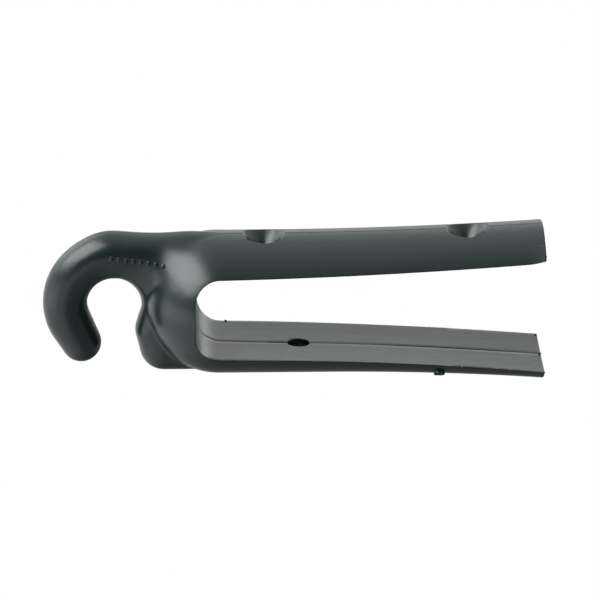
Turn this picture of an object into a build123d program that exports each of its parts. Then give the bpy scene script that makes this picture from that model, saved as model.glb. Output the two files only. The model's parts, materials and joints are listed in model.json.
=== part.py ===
"""Hook end fitting for a round pole: two half mouldings that meet on the fitting's mid-plane.

+X runs from the hook to the arm tips, +Z is up with the hook's mouth facing down, and the halves meet on Y = 0.
The origin is under the middle of the fitting, at its lowest point.
"""

import math
import os

from build123d import *

# Driving dimensions, in millimetres.
pole_radius = 19.0
half_length = 66.7
axis_z = 20.3

# The fork's arms: their crowns spring away from the pole's line, and the tongue slot opens with them.
upper_bend_x = -9.5
lower_bend_x = 10.0
upper_rise = 2.7
lower_rise = 1.57
lower_tip_x = 65.7
slot_end_x = -26.1
slot_corner = 6.4
slot_root = 11.1
slot_middle_x = 18.6
slot_middle = 12.4
slot_tip = 15.25
past_tip = 5.0

# The domed shoulder between the fork and the hook.
dome_x = -20.2

# The hook: a bar that leaves the shoulder at the top, bends round the seat and ends in a rounded lip.
seat_x = -47.8
seat_z = axis_z - 0.1
seat_radius = 7.25
neck_x = -20.0
bar_bend = 13.0
neck_radius = 6.1
crest_radius = 6.0
side_radius = 5.9
lip_radius = 5.3
straight_angle = 207
lip_run = 5.7

# The jaw: the bar goes on round the seat inside the shoulder, and ends in the lip across the mouth.
jaw_radius = 5.9
heel_radius = 6.2
jaw_angle = -10
jaw_lip = (-36.5, axis_z - 7.6)
jaw_heel = (-34.6, axis_z - 12.2)
jaw_end = (-22.0, axis_z - 12.2)

# Wood screw holes, countersunk from outside.
screw_radius = 2.95
screw_head_radius = 5.7
screw_head_angle = 90
screw_depth = 14.0
screw_start = 0.05
upper_screws_x = (-8.1, 45.5)
lower_screw_x = 1.1

# Locating pegs on the front half, and their sockets in the rear half.
peg_radius = 1.3
peg_length = 2.4
peg_gap = 0.06
socket_depth = 2.8
peg_places = (
    (-60.9, axis_z),
    (-33.0, axis_z + 3.0),
    (18.0, axis_z + 16.0),
    (58.0, axis_z + 18.2),
    (26.0, axis_z - 15.9),
    (58.0, axis_z - 17.3),
)

# Tools that part, trim and cut the moulding are this much larger than it.
reach = 200.0


def on_bend(degrees):
    """The point of the bar's centre line at an angle round the hook."""
    turn = math.radians(degrees)
    return seat_x + bar_bend * math.cos(turn), seat_z + bar_bend * math.sin(turn)


def across_bar(place, degrees):
    """The plane square to a line in the XZ plane that leaves a place at an angle."""
    turn = math.radians(degrees)
    return Plane(
        origin=(place[0], 0, place[1]),
        x_dir=(0, 1, 0),
        z_dir=(math.cos(turn), 0, math.sin(turn)),
    )


def crown_rise(x, bend_x, rise):
    """How far an arm's crown has sprung away from the pole's line at a place along it."""
    return rise * (max(x - bend_x, 0) / (half_length + past_tip - bend_x)) ** 2


os.makedirs("parts", exist_ok=True)

crest = on_bend(90)
side = on_bend(180)
straight = on_bend(straight_angle)
lip_angle = straight_angle + 90
lip = (
    straight[0] + lip_run * math.cos(math.radians(lip_angle)),
    straight[1] + lip_run * math.sin(math.radians(lip_angle)),
)
bar_sections = (
    ((neck_x, crest[1]), 180, neck_radius),
    (crest, 180, crest_radius),
    (side, 270, side_radius),
    (lip, lip_angle, lip_radius),
)
jaw_bars = (
    (on_bend(jaw_angle), jaw_lip, jaw_radius, jaw_radius),
    (jaw_lip, jaw_heel, jaw_radius, heel_radius),
    (jaw_heel, jaw_end, heel_radius, heel_radius),
)
arms = (
    (upper_bend_x, upper_rise, 1, half_length),
    (lower_bend_x, lower_rise, -1, lower_tip_x),
)

# The whole moulding, before it is parted on its mid-plane.
with BuildPart() as moulding:
    # The shoulder is half a ball, as wide as the pole.
    with Locations((dome_x, 0, axis_z)):
        Sphere(pole_radius)

    # Each arm starts as a round bar bent along one large arc, of which the slot leaves the outer segment.
    for bend_x, rise, sign, tip_x in arms:
        with BuildLine(Plane.XZ) as arm_path:
            Line((dome_x, axis_z), (bend_x, axis_z))
            TangentArc((bend_x, axis_z), (half_length + past_tip, axis_z + sign * rise), tangent=(1, 0))
        with BuildSketch(Plane(origin=(dome_x, 0, axis_z), z_dir=(1, 0, 0))):
            Circle(pole_radius)
        sweep(path=arm_path.wires()[0])

    # The hook's bar, a little thinner towards its lip, and the ball that ends it.
    with BuildLine(Plane.XZ) as bar_path:
        Line((neck_x, crest[1]), crest)
        ThreePointArc(crest, on_bend((90 + straight_angle) / 2), straight)
        Line(straight, lip)
    for place, degrees, radius in bar_sections:
        with BuildSketch(across_bar(place, degrees)):
            Circle(radius)
    sweep(path=bar_path.wires()[0], multisection=True)
    with Locations((lip[0], 0, lip[1])):
        Sphere(lip_radius)

    # The other side of the bend, which runs inside the shoulder, and the jaw below it.
    with BuildLine(Plane.XZ) as inner_path:
        ThreePointArc(crest, on_bend((90 + jaw_angle) / 2), on_bend(jaw_angle))
    with BuildSketch(across_bar(crest, 0)):
        Circle(jaw_radius)
    sweep(path=inner_path.wires()[0])
    for start, end, start_radius, end_radius in jaw_bars:
        run = math.hypot(end[0] - start[0], end[1] - start[1])
        tilt = math.degrees(math.atan2(end[1] - start[1], end[0] - start[0]))
        with BuildSketch(across_bar(start, tilt)):
            Circle(start_radius)
        with BuildSketch(across_bar(start, tilt).offset(run)):
            Circle(end_radius)
        loft()
    for place, radius in ((on_bend(jaw_angle), jaw_radius), (jaw_lip, jaw_radius), (jaw_heel, heel_radius)):
        with Locations((place[0], 0, place[1])):
            Sphere(radius)

    # The tongue slot, which opens towards the tips.
    with BuildSketch(Plane.XZ):
        with BuildLine():
            for sign in (1, -1):
                corner_start = (slot_end_x, axis_z + sign * (slot_root - slot_corner))
                corner_end = (slot_end_x + slot_corner, axis_z + sign * slot_root)
                tip = (half_length + past_tip, axis_z + sign * (slot_tip + 0.35))
                Line((slot_end_x, axis_z), corner_start)
                RadiusArc(corner_start, corner_end, sign * slot_corner)
                ThreePointArc(corner_end, (slot_middle_x, axis_z + sign * slot_middle), tip)
                Line(tip, (half_length + past_tip, axis_z))
        make_face()
    extrude(amount=reach / 2, both=True, mode=Mode.SUBTRACT)
    for bend_x, rise, sign, tip_x in arms:
        with BuildSketch(Plane.XY.offset(axis_z)):
            with Locations((tip_x + reach / 2, 0)):
                Rectangle(reach, reach)
        extrude(amount=sign * reach, mode=Mode.SUBTRACT)

    # The seat, a narrow band bored round the inside of the hook.
    with BuildSketch(Plane.XZ):
        with Locations((seat_x, seat_z)):
            Circle(seat_radius)
    extrude(amount=pole_radius, both=True, mode=Mode.SUBTRACT)

    # The screw holes. Each starts just above the crown beside it, so that its countersink breaks the surface.
    for screw_x, (bend_x, rise, sign, tip_x) in (
        (upper_screws_x[0], arms[0]),
        (upper_screws_x[1], arms[0]),
        (lower_screw_x, arms[1]),
    ):
        crown = pole_radius + crown_rise(screw_x + screw_head_radius, bend_x, rise) + screw_start
        with Locations(Plane(origin=(screw_x, 0, axis_z + sign * crown), z_dir=(0, 0, sign))):
            CounterSinkHole(screw_radius, screw_head_radius, screw_depth, screw_head_angle)

# The front half, with its pegs.
with BuildPart() as front_half:
    add(moulding.part)
    Box(reach, reach, reach, align=(Align.CENTER, Align.MAX, Align.CENTER), mode=Mode.INTERSECT)
    with BuildSketch(Plane.XZ):
        with Locations(*peg_places):
            Circle(peg_radius)
    extrude(amount=-peg_length)

# The rear half, with the sockets.
with BuildPart() as rear_half:
    add(moulding.part)
    Box(reach, reach, reach, align=(Align.CENTER, Align.MIN, Align.CENTER), mode=Mode.INTERSECT)
    with BuildSketch(Plane.XZ):
        with Locations(*peg_places):
            Circle(peg_radius + peg_gap)
    extrude(amount=-socket_depth, mode=Mode.SUBTRACT)

for name, half in (("front_half", front_half), ("rear_half", rear_half)):
    half.part.label = name
    export_step(half.part, f"parts/{name}.step")
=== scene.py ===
import json
import math

import bpy
from mathutils import Euler, Matrix, Vector, noise


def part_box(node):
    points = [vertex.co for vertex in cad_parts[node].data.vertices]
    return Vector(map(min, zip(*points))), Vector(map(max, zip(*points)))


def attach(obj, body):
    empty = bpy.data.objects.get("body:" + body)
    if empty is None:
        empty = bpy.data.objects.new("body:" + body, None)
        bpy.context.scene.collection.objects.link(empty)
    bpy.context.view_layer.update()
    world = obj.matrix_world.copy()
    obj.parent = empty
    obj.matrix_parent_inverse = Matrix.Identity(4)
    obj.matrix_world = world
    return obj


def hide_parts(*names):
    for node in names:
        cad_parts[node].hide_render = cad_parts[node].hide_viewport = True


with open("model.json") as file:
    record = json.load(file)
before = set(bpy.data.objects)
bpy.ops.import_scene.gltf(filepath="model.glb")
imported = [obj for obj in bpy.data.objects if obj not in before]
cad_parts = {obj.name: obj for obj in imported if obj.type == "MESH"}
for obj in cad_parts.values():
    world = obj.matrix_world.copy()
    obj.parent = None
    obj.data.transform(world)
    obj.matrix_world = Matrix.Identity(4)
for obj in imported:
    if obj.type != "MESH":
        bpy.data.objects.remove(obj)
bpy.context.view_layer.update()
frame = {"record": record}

# THE BLANK
# The fitting as one solid, before it is parted into its two plastic halves: a ball-ended round bar for the
# fork, and a hook's bar that leaves it at the top. Both are drawn out ring by ring from a round face.
mm = 0.001
mounts = {mount["name"]: mount for mount in frame["record"]["mounts"]}
pole_axis = mounts["tongue_stop"]["pos_m"][2]
slot_end = mounts["tongue_stop"]["pos_m"][0]
seat = Vector(mounts["hook_seat"]["pos_m"])
tip_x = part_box("front_half")[1][0]
pole_radius = 19.0 * mm
shoulder_x = slot_end + 5.9 * mm
past_tip = 5.0 * mm
arm_steps = 24
bend_radius = 13.0 * mm
bar_radii = {"neck": 6.2 * mm, "crest": 6.05 * mm, "side": 5.9 * mm, "lip": 5.35 * mm}
lip_run = 5.7 * mm
around_bar = 96
around_pole = 160


def pick_none():
    """Leaves edit mode with nothing selected."""
    if bpy.context.mode != "OBJECT":
        bpy.ops.object.mode_set(mode="OBJECT")
    bpy.ops.object.select_all(action="DESELECT")


def edit(piece):
    """Opens a piece in edit mode with all of it selected."""
    pick_none()
    piece.select_set(True)
    bpy.context.view_layer.objects.active = piece
    bpy.ops.object.mode_set(mode="EDIT")
    bpy.ops.mesh.select_all(action="SELECT")


def done(name):
    """Names the active piece, puts its place in its mesh and leaves it on its own."""
    if bpy.context.mode != "OBJECT":
        bpy.ops.mesh.select_all(action="SELECT")
        bpy.ops.mesh.normals_make_consistent(inside=False)
        bpy.ops.object.mode_set(mode="OBJECT")
    piece = bpy.context.active_object
    piece.name = name
    piece.data.name = name
    bpy.ops.object.select_all(action="DESELECT")
    piece.select_set(True)
    bpy.ops.object.transform_apply(location=True, rotation=True, scale=True)
    bpy.ops.object.select_all(action="DESELECT")
    return piece


def draw_on(step):
    """Extrudes the selected face along a step."""
    bpy.ops.mesh.extrude_region_move(TRANSFORM_OT_translate={"value": step})


def round_face(place, radius, sides):
    """A round face square to X, open in edit mode."""
    pick_none()
    bpy.ops.mesh.primitive_circle_add(
        vertices=sides, radius=radius, fill_type="NGON", location=place, rotation=(0, math.pi / 2, 0)
    )
    bpy.ops.object.transform_apply(location=True, rotation=True, scale=True)
    bpy.ops.object.mode_set(mode="EDIT")
    bpy.ops.mesh.select_all(action="SELECT")


def ball(place, radius, name):
    pick_none()
    bpy.ops.mesh.primitive_uv_sphere_add(
        segments=around_bar, ring_count=around_bar // 2, radius=radius, location=place
    )
    return done(name)


def combine(target, tool, operation):
    """Applies a Boolean of one closed piece on another, and deletes the tool."""
    pick_none()
    bpy.context.view_layer.objects.active = target
    cut = target.modifiers.new(operation.lower(), "BOOLEAN")
    cut.operation = operation
    cut.solver = "MANIFOLD"
    cut.object = tool
    bpy.ops.object.modifier_apply(modifier=cut.name)
    bpy.data.objects.remove(tool)


def arm(name, bend_x, rise):
    """A round bar along the pole's axis that springs away along one large arc."""
    round_face((shoulder_x, 0, pole_axis), pole_radius, around_pole)
    end_x = tip_x + past_tip
    draw_on((bend_x - shoulder_x, 0, 0))
    sprung = 0.0
    for step in range(1, arm_steps + 1):
        height = rise * (step / arm_steps) ** 2
        draw_on(((end_x - bend_x) / arm_steps, 0, height - sprung))
        sprung = height
    return done(name)


blank = ball((shoulder_x, 0, pole_axis), pole_radius, "blank")
combine(blank, arm("upper_bar", -9.5 * mm, 2.7 * mm), "UNION")
combine(blank, arm("lower_bar", 10.0 * mm, -1.6 * mm), "UNION")

# The hook's bar starts inside the shoulder, runs out level, bends round the seat and goes straight on to
# its lip.
crest = seat + Vector((0, 0, bend_radius))
neck_start = Vector((shoulder_x, 0, crest.z))
hook_turn = math.radians(117)
straight_start = seat + bend_radius * Vector((-math.sin(hook_turn), 0, math.cos(hook_turn)))
lip = straight_start + lip_run * Vector((-math.cos(hook_turn), 0, -math.sin(hook_turn)))
round_face(neck_start, bar_radii["neck"], around_bar)
draw_on(crest - neck_start)
bpy.ops.transform.resize(value=[bar_radii["crest"] / bar_radii["neck"]] * 3, center_override=crest)
bpy.ops.mesh.spin(steps=40, angle=hook_turn, center=seat, axis=(0, 1, 0))
draw_on(lip - straight_start)
bpy.ops.transform.resize(value=[bar_radii["lip"] / bar_radii["crest"]] * 3, center_override=lip)
hook_bar = done("hook_bar")
for vertex in hook_bar.data.vertices:
    spoke = Vector((vertex.co.x - seat.x, 0, vertex.co.z - seat.z)).normalized()
    turned = math.atan2(-spoke.x, spoke.z) / hook_turn
    if 0 < turned < 1.02:
        centre = seat + bend_radius * spoke
        thinned = 1 + (bar_radii["side"] / bar_radii["crest"] - 1) * min(turned, 1.0)
        vertex.co = centre + (vertex.co - centre) * thinned
combine(blank, hook_bar, "UNION")
combine(blank, ball(lip, bar_radii["lip"], "lip_ball"), "UNION")

# The same bar goes on round the seat on the other side, mostly inside the shoulder, and ends in the jaw.
jaw_turn = math.radians(100)
jaw_start = seat + bend_radius * Vector((math.sin(jaw_turn), 0, math.cos(jaw_turn)))
jaw_points = (
    (jaw_start, bar_radii["side"]),
    (Vector((slot_end - 10.4 * mm, 0, pole_axis - 7.6 * mm)), bar_radii["side"]),
    (Vector((slot_end - 8.7 * mm, 0, pole_axis - 12.3 * mm)), 6.5 * mm),
    (Vector((slot_end + 4.1 * mm, 0, pole_axis - 12.3 * mm)), 6.5 * mm),
)
round_face(crest - Vector((0.5 * mm, 0, 0)), bar_radii["side"], around_bar)
draw_on((0.5 * mm, 0, 0))
bpy.ops.mesh.spin(steps=32, angle=jaw_turn, center=seat, axis=(0, -1, 0))
combine(blank, done("inner_bar"), "UNION")
for (start, start_radius), (end, end_radius) in zip(jaw_points, jaw_points[1:]):
    run = end - start
    pick_none()
    bpy.ops.mesh.primitive_cone_add(
        vertices=around_bar,
        radius1=start_radius,
        radius2=end_radius,
        depth=run.length,
        location=(start + end) / 2,
        rotation=run.to_track_quat("Z", "Y").to_euler(),
    )
    combine(blank, done("jaw_run"), "UNION")
    combine(blank, ball(start, start_radius, "jaw_ball"), "UNION")

combine(blank, ball(jaw_points[-1][0], jaw_points[-1][1], "jaw_ball"), "UNION")

# The bar thickens into the shoulder.
root_start = crest + Vector((8.0 * mm, 0, -0.6 * mm))
root_end = Vector((shoulder_x - 9.2 * mm, 0, pole_axis + 8.6 * mm))
root_radius = 9.6 * mm
run = root_end - root_start
pick_none()
bpy.ops.mesh.primitive_cone_add(
    vertices=around_bar,
    radius1=0.92 * bar_radii["neck"],
    radius2=root_radius,
    depth=run.length,
    location=(root_start + root_end) / 2,
    rotation=run.to_track_quat("Z", "Y").to_euler(),
)
combine(blank, done("bar_root"), "UNION")
combine(blank, ball(root_end, root_radius, "root_ball"), "UNION")


def turn_piece(piece, turn):
    """Turns a piece about the origin, mesh and all."""
    pick_none()
    piece.select_set(True)
    bpy.context.view_layer.objects.active = piece
    piece.rotation_euler = turn.to_euler()
    bpy.ops.object.transform_apply(location=False, rotation=True, scale=False)


def remesh(piece, voxel):
    """Gives a piece one even skin. It is turned meanwhile, so that no wall lies along the voxels' rows."""
    askew = Euler([math.radians(turn) for turn in (31, 17, 23)]).to_matrix()
    turn_piece(piece, askew)
    skin = piece.modifiers.new("skin", "REMESH")
    skin.mode = "VOXEL"
    skin.voxel_size = voxel
    bpy.ops.object.modifier_apply(modifier=skin.name)
    turn_piece(piece, askew.inverted())


def soften(piece, passes, group=""):
    """Smooths a piece, all over or as much as a vertex group says."""
    pick_none()
    bpy.context.view_layer.objects.active = piece
    smooth = piece.modifiers.new("soften", "SMOOTH")
    smooth.factor = 0.5
    smooth.iterations = passes
    smooth.vertex_group = group
    bpy.ops.object.modifier_apply(modifier=smooth.name)


def weigh(piece, group_name, weight_at):
    """Fills a vertex group with the weight that a place on the piece has."""
    group = piece.vertex_groups.new(name=group_name)
    for vertex in piece.data.vertices:
        weight = weight_at(vertex.co)
        if weight > 0.0:
            group.add([vertex.index], min(weight, 1.0), "REPLACE")


def fade(distance, reach):
    return max(0.0, 1.0 - distance / reach)


# Where the hook's bar runs into the shoulder the mould is well rounded. Along the jaw it is only just eased.
def off_shoulder(place):
    return abs((place - Vector((shoulder_x, 0, pole_axis))).length - pole_radius)


def ramp(value, start, end):
    """Goes from 0 to 1 as the value goes from start to end."""
    return min(max((value - start) / (end - start), 0.0), 1.0)


def neck_fillet(place):
    off_seat = math.hypot(place.x - seat.x, place.z - seat.z)
    if place.x > shoulder_x + 4 * mm:
        return 0.0
    off_neck = abs(math.hypot(place.y, place.z - crest.z) - bar_radii["neck"])
    off_top = 1 - ramp(place.z, crest.z + 2.5 * mm, crest.z + 5.5 * mm)
    off_jaw = ramp(place.z, pole_axis - 2 * mm, pole_axis + 9 * mm) ** 3
    off_bore = ramp(off_seat, 7.4 * mm, 11.0 * mm)
    cheek = Vector((shoulder_x - 14.5 * mm, math.copysign(6.5 * mm, place.y), pole_axis + 8.5 * mm))
    in_crease = 2.0 * fade(off_shoulder(place), 8.0 * mm) * fade(off_neck, 9.0 * mm)
    return off_top * (off_jaw * off_bore) * max(in_crease, 1.8 * fade((place - cheek).length, 12.0 * mm))


def jaw_fillet(place):
    if place.x > slot_end + 8 * mm or place.z > pole_axis + 3 * mm:
        return 0.0
    return 1.3 * fade(off_shoulder(place), 1.8 * mm)


remesh(blank, 0.45 * mm)
soften(blank, 3)

# The hook's back stands a little proud at its crest, and again where it meets the shoulder.
for vertex in blank.data.vertices:
    at_crest = math.exp(-(((vertex.co.x - seat.x + 1.5 * mm) / (7.5 * mm)) ** 2))
    at_shoulder = math.exp(-(((vertex.co.x - slot_end + 1.5 * mm) / (5.5 * mm)) ** 2))
    raised = ramp(vertex.co.z, seat.z + 3 * mm, crest.z)
    swelling = (vertex.co.z - crest.z) / (6.3 * mm)
    vertex.co.z += raised * at_crest * (0.55 + 0.3 * swelling) * mm
    vertex.co.z += ramp(vertex.co.z, crest.z, crest.z + 5 * mm) * at_shoulder * 0.4 * mm

weigh(blank, "neck_fillet", neck_fillet)
weigh(blank, "jaw_fillet", jaw_fillet)
soften(blank, 220, "neck_fillet")
soften(blank, 8, "jaw_fillet")

# The slot is cut by a tool wider than the pole, which grows towards the tips. It bulges along its middle, and
# leaves the slot's walls slightly sunk.
slot_root = 11.1 * mm
slot_mouth = 15.25 * mm
slot_bow = 0.75 * mm
slot_corner = 6.4 * mm
wall_sink = 0.4 * mm
bpy.ops.object.select_all(action="DESELECT")
bpy.ops.mesh.primitive_grid_add(
    x_subdivisions=1,
    y_subdivisions=24,
    size=1,
    location=(slot_end, 0, pole_axis),
    rotation=(0, math.pi / 2, 0),
)
bpy.ops.object.transform_apply(location=True, rotation=True, scale=True)
bpy.ops.object.mode_set(mode="EDIT")
bpy.ops.mesh.select_all(action="SELECT")
half_gap = slot_root - slot_corner
bpy.ops.transform.resize(value=(1, 2.2 * pole_radius, 2 * half_gap), center_override=(slot_end, 0, pole_axis))
stations = []
for step in range(1, 13):
    turn = math.radians(90) * step / 12
    stations.append((slot_corner * (1 - math.cos(turn)), slot_root - slot_corner * (1 - math.sin(turn))))
slot_length = tip_x + past_tip - slot_end - slot_corner
for step in range(1, 31):
    share = step / 30
    gap = slot_root + (slot_mouth - slot_root) * share - 4 * slot_bow * share * (1 - share)
    stations.append((slot_corner + slot_length * share, gap))
reached = 0.0
for reach, gap in stations:
    draw_on((reach - reached, 0, 0))
    bpy.ops.transform.resize(value=(1, 1, gap / half_gap), center_override=(slot_end + reach, 0, pole_axis))
    reached, half_gap = reach, gap
slot_tool = done("slot_tool")
for vertex in slot_tool.data.vertices:
    across = 1 - min(abs(vertex.co.y) / (0.8 * pole_radius), 1.0) ** 2
    along = min(max((vertex.co.x - slot_end) / (2 * slot_corner), 0.0), 1.0)
    vertex.co.z += math.copysign(wall_sink * across * along, vertex.co.z - pole_axis)
combine(blank, slot_tool, "DIFFERENCE")

# The arms are cut off square.
upper_end = tip_x - 1.1 * mm
lower_end = tip_x - 0.75 * mm
for end_x, side in ((upper_end, 1), (lower_end, -1)):
    pick_none()
    bpy.ops.mesh.primitive_cube_add(
        size=3 * pole_radius, location=(end_x + 1.5 * pole_radius, 0, pole_axis + side * 1.5 * pole_radius)
    )
    combine(blank, done("end_tool"), "DIFFERENCE")

# The seat is bored as a narrow band, where only the middle of the round bar reaches its circle.
pick_none()
bpy.ops.mesh.primitive_cylinder_add(
    vertices=160,
    radius=mounts["hook_seat"]["dims"]["r_mm"] * mm,
    depth=4 * pole_radius,
    location=seat,
    rotation=(math.pi / 2, 0, 0),
)
combine(blank, done("seat_tool"), "DIFFERENCE")

# Screw holes, countersunk from outside: two down through the upper arm, one up through the lower one.
upper_holes = mounts["upper_screw_holes"]
lower_hole = mounts["lower_screw_hole"]
hole_radius = lower_hole["dims"]["r_mm"] * mm
head_radius = 5.6 * mm
sink_depth = 3.5 * mm
sink_slope = (head_radius - hole_radius) / sink_depth
half_pitch = upper_holes["dims"]["spacing_x_mm"] * mm / 2
screws = (
    (upper_holes["pos_m"][0] - half_pitch, 1, pole_radius),
    (upper_holes["pos_m"][0] + half_pitch, 1, pole_radius + 1.25 * mm),
    (lower_hole["pos_m"][0], -1, pole_radius),
)
for screw_x, side, crown in screws:
    pick_none()
    bpy.ops.mesh.primitive_cylinder_add(
        vertices=96, radius=hole_radius, depth=20 * mm, location=(screw_x, 0, pole_axis + side * crown)
    )
    hole_tool = done("hole_tool")
    pick_none()
    bpy.ops.mesh.primitive_cone_add(
        vertices=96,
        radius1=head_radius + 2 * mm * sink_slope,
        radius2=hole_radius - 1 * mm * sink_slope,
        depth=sink_depth + 3 * mm,
        location=(screw_x, 0, pole_axis + side * (crown + (1 * mm - sink_depth) / 2)),
        rotation=(math.pi if side > 0 else 0, 0, 0),
        scale=(1, 1.15, 1),
    )
    combine(blank, done("sink_tool"), "DIFFERENCE")
    combine(blank, hole_tool, "DIFFERENCE")


def gap_at(x):
    """Half the slot's height at a place along it."""
    share = (x - slot_end - slot_corner) / slot_length
    return slot_root + (slot_mouth - slot_root) * share - 4 * slot_bow * share * (1 - share)


# The seam gapes a little along the lower arm's inner face: beside the hole, and along the outer stretch.
for start_x, end_x, width in ((-7.5 * mm, -0.5 * mm, 0.5 * mm), (22.0 * mm, 58.0 * mm, 0.36 * mm)):
    middle_x = (start_x + end_x) / 2
    pick_none()
    bpy.ops.mesh.primitive_uv_sphere_add(
        segments=48,
        ring_count=24,
        radius=1,
        location=(middle_x, 0, pole_axis - gap_at(middle_x) - wall_sink),
        rotation=(0, math.atan2(gap_at(end_x) - gap_at(start_x), end_x - start_x), 0),
        scale=((end_x - start_x) / 2, width / 2, 1.1 * mm),
    )
    combine(blank, done("gape_tool"), "DIFFERENCE")

# The runner's stub stands in a shallow well on the lower arm, round towards the front.
stub_turn = math.radians(33)
stub_out = Vector((0, -math.sin(stub_turn), -math.cos(stub_turn)))
stub_foot = Vector((38.1 * mm, 0, pole_axis - 0.55 * mm)) + pole_radius * stub_out
stub_radius = 1.5 * mm
pick_none()
bpy.ops.mesh.primitive_cone_add(
    vertices=64,
    radius1=stub_radius + 0.2 * mm,
    radius2=stub_radius + 0.7 * mm,
    depth=1.2 * mm,
    location=stub_foot + 0.2 * mm * stub_out,
    rotation=stub_out.to_track_quat("Z", "Y").to_euler(),
)
combine(blank, done("well_tool"), "DIFFERENCE")

# The arms have sprung: the lower one droops and twists towards its tip, and the upper one's slot edge is worn
# round at the very end.
for vertex in blank.data.vertices:
    place = vertex.co
    if place.z < pole_axis:
        share = ramp(place.x, 8 * mm, lower_end)
        vertex.co.z -= share**2 * (0.5 * mm - 0.045 * place.y)
    elif place.z < pole_axis + slot_mouth + 3 * mm:
        worn = ramp(place.x, upper_end - 5 * mm, upper_end) ** 2 * ramp(-place.y, 6 * mm, 12 * mm)
        vertex.co.z += 0.6 * mm * worn

# THE TWO HALVES
# Two solid mouldings in dark green-grey polypropylene, one the mirror of the other, with the satin skin of a
# blasted mould. They are bonded on the mid-plane, where a fine open seam is left all the way round.
edge_ease = 0.2 * mm


class Wire:
    """A node's socket, with arithmetic."""

    def __init__(self, paint, socket):
        self.paint = paint
        self.socket = socket

    def maths(self, operation, *terms):
        return self.paint.add("ShaderNodeMath", {"operation": operation}, dict(enumerate(terms)))

    def __add__(self, other):
        return self.maths("ADD", self, other)

    def __sub__(self, other):
        return self.maths("SUBTRACT", self, other)

    def __rsub__(self, other):
        return self.maths("SUBTRACT", other, self)

    def __mul__(self, other):
        return self.maths("MULTIPLY", self, other)

    __radd__ = __add__
    __rmul__ = __mul__


class Paint:
    """The nodes of a material or of the world, under construction."""

    def __init__(self, owner):
        self.owner = owner
        owner.use_nodes = True
        self.tree = owner.node_tree
        self.tree.nodes.clear()

    def add(self, kind, settings=None, values=None, output=0):
        """Adds a node, sets it, then fills or links its sockets by name or number."""
        node = self.tree.nodes.new(kind)
        for name, setting in (settings or {}).items():
            setattr(node, name, setting)
        for name, value in (values or {}).items():
            if isinstance(value, Wire):
                self.tree.links.new(value.socket, node.inputs[name])
            else:
                node.inputs[name].default_value = value
        return Wire(self, node.outputs[output]) if len(node.outputs) else None

    def noise(self, place, size, detail=4.0, roughness=0.55):
        """Cloudy noise from 0 to 1, whose patches are about as large as the size."""
        cloud = {"Vector": place, "Scale": 1 / size, "Detail": detail, "Roughness": roughness}
        return self.add("ShaderNodeTexNoise", {}, cloud)

    def step(self, value, start, end):
        """Goes from 0 to 1 as the value goes from start to end."""
        way = {"Value": value, "From Min": start, "From Max": end}
        return self.add("ShaderNodeMapRange", {"interpolation_type": "SMOOTHSTEP"}, way)

    def blend(self, share, first, second):
        """A colour on its way from the first to the second."""
        return self.add("ShaderNodeMix", {"data_type": "RGBA"}, {0: share, 6: first, 7: second}, output=2)

    def close(self, shader, kind="ShaderNodeOutputMaterial"):
        """Leads a shader to the output."""
        self.add(kind, {}, {"Surface": shader})


def moulded_plastic(name, colour, gloss):
    """Dark polypropylene with flow marks, a fine grained skin, a few specks of dust, and paler, glossier
    edges that are partly rubbed wear and partly a painted highlight.
    """
    paint = Paint(bpy.data.materials.new(name))
    place = paint.add("ShaderNodeTexCoord", output=3)
    along = paint.add("ShaderNodeMapping", {}, {"Vector": place, "Scale": (0.35, 1.0, 1.0)})
    flow = paint.noise(along, 9 * mm, 3.0)
    cloud = paint.noise(place, 3.2 * mm, 5.0, 0.6)
    grain = paint.noise(place, 0.42 * mm, 3.0, 0.65)
    speck = paint.step(paint.noise(place, 0.8 * mm, 2.0), 0.7, 0.78)
    # Convex edges are painted paler and made glossier: partly rubbed wear, partly a painted highlight along
    # the edges.
    edge = paint.step(paint.add("ShaderNodeNewGeometry", output=7), 0.52, 0.62)
    pale = [min(channel * 1.55 + 0.004, 1.0) for channel in colour[:3]] + [1.0]
    dull = [channel * 0.78 for channel in colour[:3]] + [1.0]
    dust = (0.11, 0.105, 0.095, 1.0)
    base = paint.blend(paint.step(flow, 0.3, 0.72), dull, colour)
    base = paint.blend(edge * 0.5, base, pale)
    base = paint.blend(speck * 0.16, base, dust)
    rough = gloss + cloud * 0.11 + flow * 0.06 + grain * 0.05 - edge * 0.05
    height = flow * (0.13 * mm) + cloud * (0.03 * mm) + grain * (0.004 * mm)
    bump = paint.add("ShaderNodeBump", {}, {"Height": height, "Strength": 1.0, "Distance": 1.0})
    skin = {"Base Color": base, "Roughness": rough, "Normal": bump, "Specular IOR Level": 0.5}
    paint.close(paint.add("ShaderNodeBsdfPrincipled", {}, skin))
    return paint.owner


plastic = moulded_plastic("moulded_plastic", (0.0022, 0.0118, 0.0112, 1.0), 0.2)


def half_moulding(name, side, node):
    """Parts the blank on its mid-plane, keeps one side, and eases the edge all round the parting face."""
    pick_none()
    blank.select_set(True)
    bpy.context.view_layer.objects.active = blank
    bpy.ops.object.duplicate()
    half = bpy.context.active_object
    half = done(name)
    pick_none()
    bpy.ops.mesh.primitive_cube_add(size=0.4, location=(0, side * 0.2, 0))
    combine(half, done("parting_tool"), "DIFFERENCE")
    edit(half)
    bpy.ops.mesh.remove_doubles(threshold=0.02 * mm)
    bpy.ops.mesh.dissolve_degenerate(threshold=0.01 * mm)
    bpy.ops.object.mode_set(mode="OBJECT")
    ease = half.modifiers.new("ease", "BEVEL")
    ease.width = edge_ease
    ease.segments = 2
    ease.limit_method = "ANGLE"
    ease.angle_limit = math.radians(38)
    ease.use_clamp_overlap = False
    bpy.ops.object.modifier_apply(modifier=ease.name)
    pick_none()
    half.select_set(True)
    bpy.context.view_layer.objects.active = half
    bpy.ops.object.shade_smooth_by_angle(angle=math.radians(42))
    half.data.materials.clear()
    half.data.materials.append(plastic)
    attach(half, "root")
    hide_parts(node)
    return half


front_moulding = half_moulding("front_half_moulding", 1, "front_half")
half_moulding("rear_half_moulding", -1, "rear_half")
bpy.data.objects.remove(blank)

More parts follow.
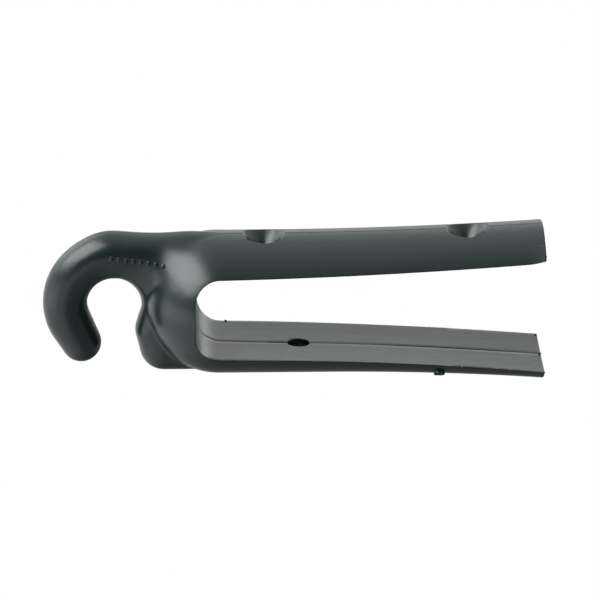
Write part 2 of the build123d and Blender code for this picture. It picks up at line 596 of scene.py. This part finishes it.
# THE RUNNER'S STUB
# What is left of the runner that fed the front half's mould: a short round stump of the same plastic, twisted
# off by hand, so that its end is torn and a little hollow.
pick_none()
bpy.ops.mesh.primitive_cylinder_add(
    vertices=48,
    radius=stub_radius,
    depth=2.0 * mm,
    location=stub_foot - 0.25 * mm * stub_out,
    rotation=stub_out.to_track_quat("Z", "Y").to_euler(),
)
stub = done("gate_stub")
edit(stub)
bpy.ops.mesh.select_all(action="DESELECT")
bpy.ops.object.mode_set(mode="OBJECT")
for face in stub.data.polygons:
    face.select = face.normal.dot(stub_out) > 0.9
bpy.ops.object.mode_set(mode="EDIT")
for inset, sunk in ((0.25, 0.12), (0.3, 0.0), (0.3, -0.22), (0.3, -0.1), (0.35, 0.28), (0.25, 0.1)):
    bpy.ops.mesh.inset(thickness=inset * mm, depth=sunk * mm)
bpy.ops.object.mode_set(mode="OBJECT")
for vertex in stub.data.vertices:
    if (vertex.co - stub_foot).dot(stub_out) > 0.4 * mm:
        torn = noise.noise_vector(vertex.co / (0.9 * mm))
        vertex.co += 0.16 * mm * torn
edit(stub)
done("gate_stub")
pick_none()
stub.select_set(True)
bpy.context.view_layer.objects.active = stub
bpy.ops.object.shade_smooth_by_angle(angle=math.radians(50))
stub.data.materials.append(plastic)
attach(stub, "root")

# THE RAISED PIPS
# A plain row of small pips on the hook's root, in the same plastic and moulded with the front half, that
# slopes down to the shoulder.
pip_count = 8
row_start = Vector((-48.2 * mm, 0, pole_axis + 14.2 * mm))
row_end = Vector((-34.6 * mm, 0, pole_axis + 12.4 * mm))
row_run = (row_end - row_start).normalized()
pips = []
for count in range(pip_count):
    spot = row_start.lerp(row_end, count / (pip_count - 1))
    met, place, out, _ = front_moulding.ray_cast(Vector((spot.x, -0.1, spot.z)), Vector((0, 1, 0)))
    up = out.cross(row_run).normalized()
    if up.z < 0:
        up = -up
    along_row = up.cross(out).normalized()
    pick_none()
    bpy.ops.mesh.primitive_cube_add(size=1)
    pip = bpy.context.active_object
    pip.matrix_world = Matrix((along_row, up, out)).transposed().to_4x4()
    pip.location = place
    pip.scale = (1.05 * mm, 1.35 * mm, 0.8 * mm)
    bpy.ops.object.transform_apply(location=True, rotation=True, scale=True)
    bpy.ops.object.mode_set(mode="EDIT")
    bpy.ops.mesh.select_all(action="SELECT")
    bpy.ops.mesh.bevel(offset=0.33 * mm, segments=3, affect="EDGES")
    pips.append(done(f"pip_{count}"))
pick_none()
for pip in pips:
    pip.select_set(True)
bpy.context.view_layer.objects.active = pips[0]
bpy.ops.object.join()
bpy.ops.object.shade_smooth_by_angle(angle=math.radians(50))
row = done("raised_pips")
row.data.materials.append(plastic)
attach(row, "root")

# THE FLASH
# Short wisps of plastic that squeezed out where the mould's faces met and were never trimmed, left on the
# lip, the arm tips and one edge of the slot.
lower_wall = pole_axis - gap_at(lower_end)
upper_wall = pole_axis + gap_at(upper_end)
edge_x = -18.3 * mm
wisps = (
    (lip + Vector((-2.2 * mm, 0, -4.7 * mm)), (-0.3, 0.0, -1.0), 0.5, 0.3),
    (Vector((lower_end - 0.4 * mm, 0, lower_wall - wall_sink - 0.5 * mm)), (1.0, -0.1, 0.3), 0.7, 0.32),
    (Vector((lower_end - 0.6 * mm, 12.2 * mm, lower_wall - 0.2 * mm)), (0.8, 0.2, 0.3), 0.4, 0.35),
    (Vector((lower_end - 0.4 * mm, -12.0 * mm, lower_wall - 1.6 * mm)), (1.0, -0.3, -0.2), 0.6, 0.35),
    (Vector((upper_end - 0.3 * mm, -12.2 * mm, upper_wall + 1.4 * mm)), (1.0, -0.2, -0.2), 0.5, 0.4),
    (Vector((edge_x, 14.9 * mm, pole_axis - gap_at(edge_x) - 0.1 * mm)), (0.2, 0.3, 1.0), 0.3, 0.35),
)
nibs = []
for count, (foot, way, length, thickness) in enumerate(wisps):
    way = Vector(way).normalized()
    pick_none()
    bpy.ops.mesh.primitive_cylinder_add(
        vertices=12,
        radius=thickness * mm,
        depth=0.5 * mm,
        location=foot,
        rotation=way.to_track_quat("Z", "Y").to_euler(),
    )
    nib = done(f"nib_{count}")
    for face in nib.data.polygons:
        face.select = face.normal.dot(way) > 0.9
    bpy.context.view_layer.objects.active = nib
    nib.select_set(True)
    bpy.ops.object.mode_set(mode="EDIT")
    sway = way.cross(Vector((0.3, 1.0, 0.2))).normalized()
    tip = foot + 0.25 * mm * way
    for step in range(4):
        shift = way * (length * mm / 7) + sway * (0.035 * mm * step)
        tip += shift
        draw_on(shift)
        bpy.ops.transform.resize(value=(0.72, 0.72, 0.72), center_override=tip)
    nibs.append(done(f"nib_{count}"))
pick_none()
for nib in nibs:
    nib.select_set(True)
bpy.context.view_layer.objects.active = nibs[0]
bpy.ops.object.join()
bpy.ops.object.shade_smooth_by_angle(angle=math.radians(60))
flash = done("flash_wisps")
flash.data.materials.append(plastic)
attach(flash, "root")

# THE STUDIO
# A pale, glowing floor well below the fitting, with a painted shadow under the fitting, a white world, one
# large soft light on the hook's side, and four weak ones to its left, low left, right and back.
def soft_light(name, place, aim, width, height, power):
    """A soft rectangular light that faces a point."""
    pick_none()
    bpy.ops.object.light_add(type="AREA", location=place)
    lamp = bpy.context.active_object
    lamp.name = name
    lamp.data.shape = "RECTANGLE"
    lamp.data.size = width
    lamp.data.size_y = height
    lamp.data.energy = power
    lamp.rotation_euler = (Vector(aim) - Vector(place)).to_track_quat("-Z", "Y").to_euler()


middle = Vector((0, 0, pole_axis))
soft_light("side_light", middle + Vector((-0.68, -0.23, 0.69)), middle, 0.96, 0.7, 14.0)
soft_light("left_glow", middle + Vector((-0.93, -0.3, -0.16)), middle, 1.0, 0.45, 1.5)
soft_light("back_glow", middle + Vector((0.36, 1.0, 0.0)), middle, 0.4, 0.4, 0.35)
soft_light("right_glow", middle + Vector((0.9, -0.45, 0.5)), middle, 0.3, 0.5, 0.9)
soft_light("low_left_light", middle + Vector((-0.68, 0.55, 0.48)), middle, 0.8, 0.6, 2.3)

# The floor glows, and is white to the camera. To the fitting its glow is dimmer below it, as a painted
# shadow, and dimmer in front of the arms.
floor_height = -0.3
floor_paint = Paint(bpy.data.materials.new("pale_floor"))
seen = floor_paint.add("ShaderNodeLightPath")
spot = floor_paint.add("ShaderNodeNewGeometry")
along_fitting = floor_paint.add("ShaderNodeSeparateXYZ", {}, {"Vector": spot})
from_under = floor_paint.add(
    "ShaderNodeVectorMath", {"operation": "DISTANCE"}, {0: spot, 1: (0.0, 0.16, floor_height)}, output=1
)
# Painted shadow: the floor's glow is dimmed in a patch right under the fitting.
shade = 0.38 + floor_paint.step(from_under, 0.08, 0.36) * 0.62
lift = 0.34 + floor_paint.step(along_fitting, 0.15, -0.35) * 0.85
glow = seen + (1 - seen) * shade * lift
floor_paint.close(floor_paint.add("ShaderNodeEmission", {}, {"Color": glow, "Strength": 1.0}))
pick_none()
bpy.ops.mesh.primitive_plane_add(size=30, location=(0, 0, floor_height))
floor = done("floor")
floor.data.materials.append(floor_paint.owner)

# The world is white to the camera too, and to the fitting it is dim in front and bright behind.
sky = Paint(bpy.data.worlds.new("studio"))
bpy.context.scene.world = sky.owner
depth = sky.add("ShaderNodeSeparateXYZ", {}, {"Vector": sky.add("ShaderNodeTexCoord")}, output=1)
dim_to_bright = {"Value": depth, "From Min": -0.75, "From Max": 0.2, "To Min": 0.1, "To Max": 1.12}
behind = sky.add("ShaderNodeMapRange", {}, dim_to_bright)
backdrop = behind.maths("MAXIMUM", behind, sky.add("ShaderNodeLightPath"))
sky.close(sky.add("ShaderNodeBackground", {}, {"Color": backdrop}), "ShaderNodeOutputWorld")

# THE CAMERA
# A long lens in front of the fitting, a little above it.
pick_none()
aim = Vector((1.5 * mm, 0, pole_axis + 0.15 * mm))
elevation, azimuth, distance = math.radians(20), math.radians(-1.3), 0.967
level = math.cos(elevation)
away = Vector((math.sin(azimuth) * level, -math.cos(azimuth) * level, math.sin(elevation)))
bpy.ops.object.camera_add(
    location=aim + distance * away, rotation=(-away).to_track_quat("-Z", "Y").to_euler()
)
camera = bpy.context.active_object
camera.data.lens = 218.4
camera.data.sensor_width = 36.0
bpy.context.scene.camera = camera
bpy.context.scene.view_settings.view_transform = "Standard"
